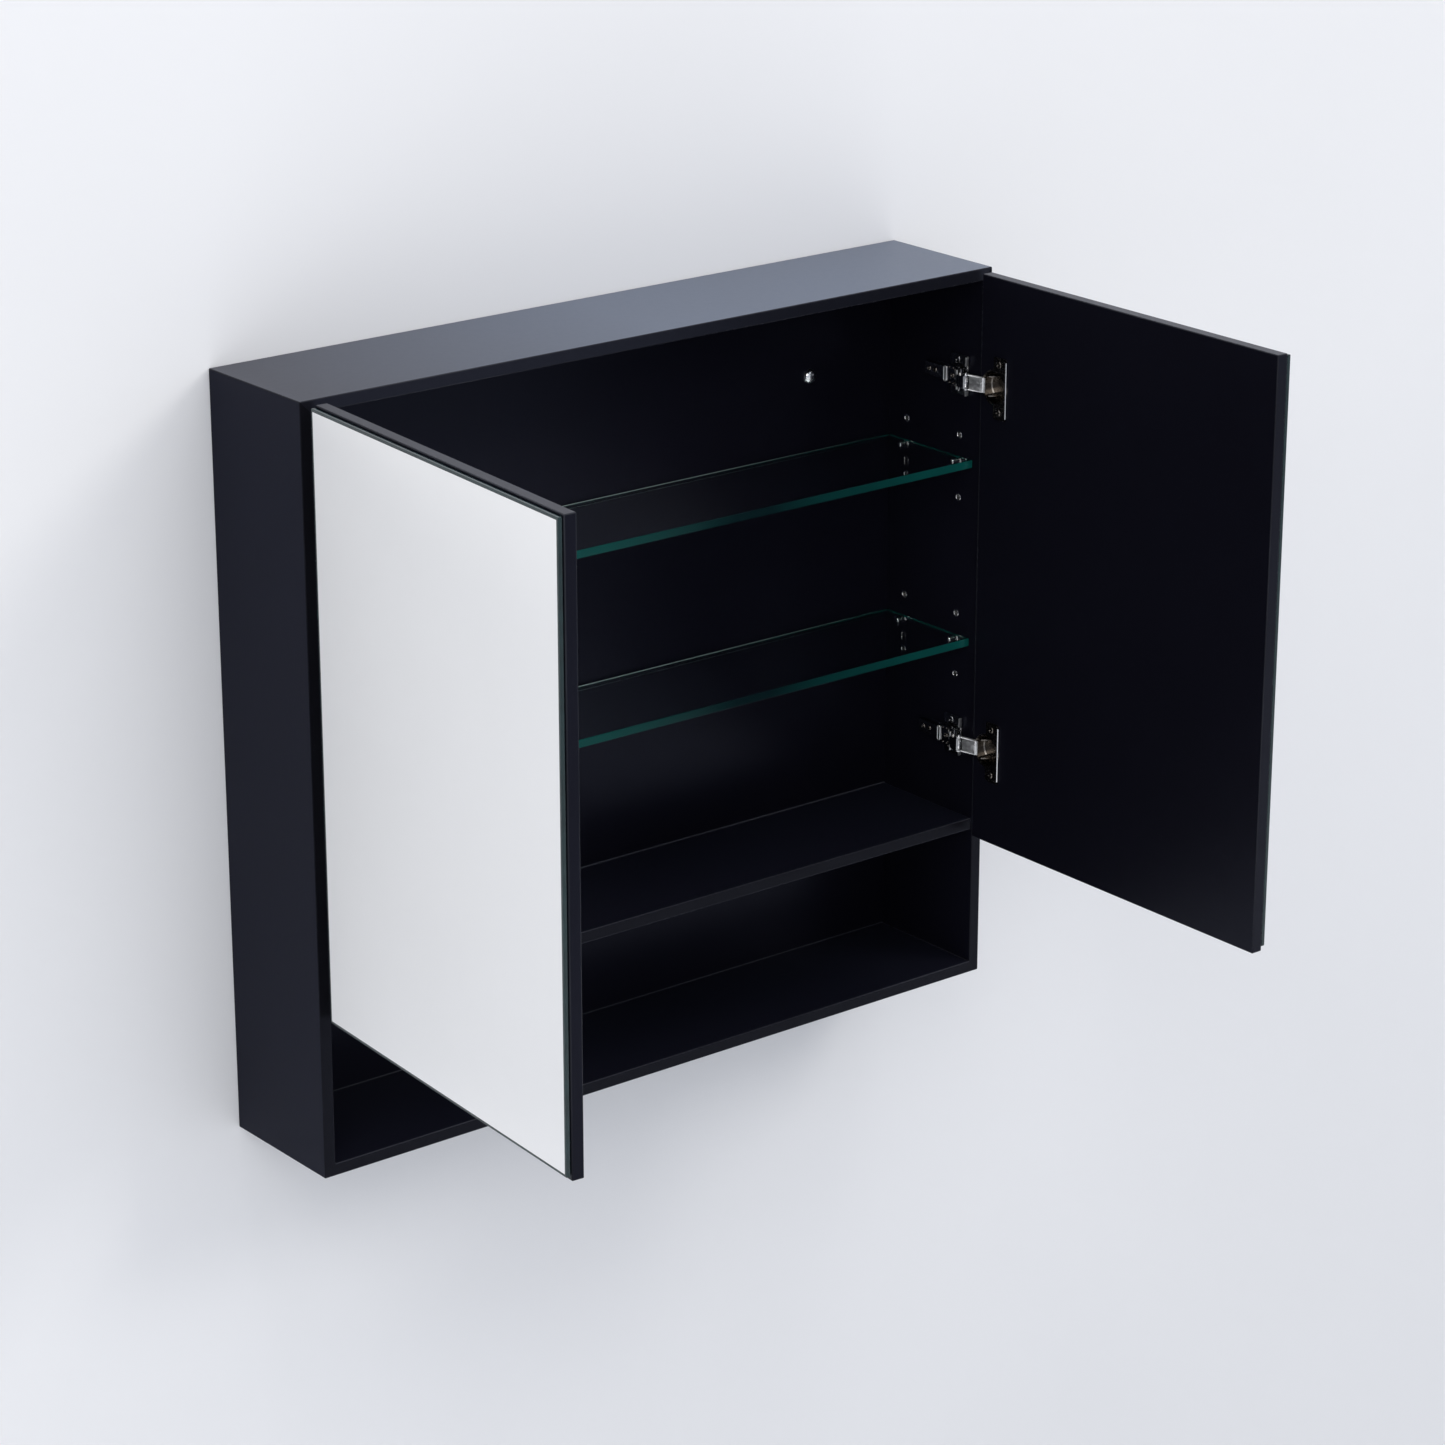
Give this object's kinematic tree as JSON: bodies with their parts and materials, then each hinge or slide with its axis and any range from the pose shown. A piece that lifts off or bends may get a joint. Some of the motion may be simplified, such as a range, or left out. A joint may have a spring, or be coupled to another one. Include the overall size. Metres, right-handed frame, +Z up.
{
  "type": "mirrored medicine cabinet",
  "caption": "Black wall-hung medicine cabinet with mirrored doors on concealed hinges, clear glass shelves and an open niche below.",
  "frame": {"origin": "centre of the cabinet's back, on the wall plane", "axes": "+X to the right across the cabinet, +Y into the wall, +Z up"},
  "size_m": [0.8234, 0.5531, 0.736],
  "materials": {
    "black_lacquer_carcass": "satin black lacquer over board",
    "black_lacquer_door": "satin black lacquer over board",
    "silvered_mirror": "silvered float glass with polished edges",
    "mounting_tape": "closed-cell foam mounting tape",
    "clear_glass": "clear tempered glass, ground edges",
    "nickel_pin": "nickel plated",
    "nickel_hinge": "nickel plated pressed steel",
    "zinc_screw": "zinc plated",
    "chrome_cap": "polished chrome"
  },
  "bodies": {
    "cabinet": {"back_panel": "black_lacquer_carcass", "bottom_panel": "black_lacquer_carcass", "glass_shelf_lower": "clear_glass", "glass_shelf_upper": "clear_glass", "hinge_arm_left_lower": "nickel_hinge", "hinge_arm_left_upper": "nickel_hinge", "hinge_arm_right_lower": "nickel_hinge", "hinge_arm_right_upper": "nickel_hinge", "left_side_panel": "black_lacquer_carcass", "middle_panel": "black_lacquer_carcass", "mounting_plate_left_lower": "nickel_hinge", "mounting_plate_left_upper": "nickel_hinge", "mounting_plate_right_lower": "nickel_hinge", "mounting_plate_right_upper": "nickel_hinge", "right_side_panel": "black_lacquer_carcass", "screw_cap_left": "chrome_cap", "screw_cap_right": "chrome_cap", "shelf_pin_lower_left_back": "nickel_pin", "shelf_pin_lower_left_front": "nickel_pin", "shelf_pin_lower_right_back": "nickel_pin", "shelf_pin_lower_right_front": "nickel_pin", "shelf_pin_upper_left_back": "nickel_pin", "shelf_pin_upper_left_front": "nickel_pin", "shelf_pin_upper_right_back": "nickel_pin", "shelf_pin_upper_right_front": "nickel_pin", "top_panel": "black_lacquer_carcass", "wall_screw_left": "zinc_screw", "wall_screw_right": "zinc_screw"},
    "left_door": {"hinge_cup_left_lower": "nickel_hinge", "hinge_cup_left_upper": "nickel_hinge", "left_door_panel": "black_lacquer_door", "left_mirror": "silvered_mirror", "left_mirror_tape": "mounting_tape"},
    "right_door": {"hinge_cup_right_lower": "nickel_hinge", "hinge_cup_right_upper": "nickel_hinge", "right_door_panel": "black_lacquer_door", "right_mirror": "silvered_mirror", "right_mirror_tape": "mounting_tape"},
    "hinge_link_left_upper": {"hinge_link_left_upper": "nickel_hinge"},
    "hinge_link_left_lower": {"hinge_link_left_lower": "nickel_hinge"},
    "hinge_link_right_upper": {"hinge_link_right_upper": "nickel_hinge"},
    "hinge_link_right_lower": {"hinge_link_right_lower": "nickel_hinge"}
  },
  "joints": [
    {"name": "left_door_hinge", "type": "hinge", "parent": "cabinet", "child": "left_door", "pos_m": [-0.3926, -0.162, 0.076], "axis": [0, 0, -1], "range_deg": [-94, 14]},
    {"name": "right_door_hinge", "type": "hinge", "parent": "cabinet", "child": "right_door", "pos_m": [0.3926, -0.162, 0.076], "axis": [0, 0, 1], "range_deg": [-90, 18]},
    {"name": "left_upper_link_pivot", "type": "hinge", "parent": "cabinet", "child": "hinge_link_left_upper", "pos_m": [-0.371, -0.142, 0.257], "axis": [0, 0, -1], "range_deg": [-7.1, 47.1]},
    {"name": "left_lower_link_pivot", "type": "hinge", "parent": "cabinet", "child": "hinge_link_left_lower", "pos_m": [-0.371, -0.142, -0.117], "axis": [0, 0, -1], "range_deg": [-7.1, 47.1]},
    {"name": "right_upper_link_pivot", "type": "hinge", "parent": "cabinet", "child": "hinge_link_right_upper", "pos_m": [0.371, -0.142, 0.257], "axis": [0, 0, 1], "range_deg": [-9.1, 45.1]},
    {"name": "right_lower_link_pivot", "type": "hinge", "parent": "cabinet", "child": "hinge_link_right_lower", "pos_m": [0.371, -0.142, -0.117], "axis": [0, 0, 1], "range_deg": [-9.1, 45.1]}
  ],
  "couplings": [
    {"joint": "left_upper_link_pivot", "follows": "left_door_hinge", "ratio": -0.5},
    {"joint": "left_lower_link_pivot", "follows": "left_door_hinge", "ratio": -0.5},
    {"joint": "right_upper_link_pivot", "follows": "right_door_hinge", "ratio": -0.5},
    {"joint": "right_lower_link_pivot", "follows": "right_door_hinge", "ratio": -0.5}
  ]
}
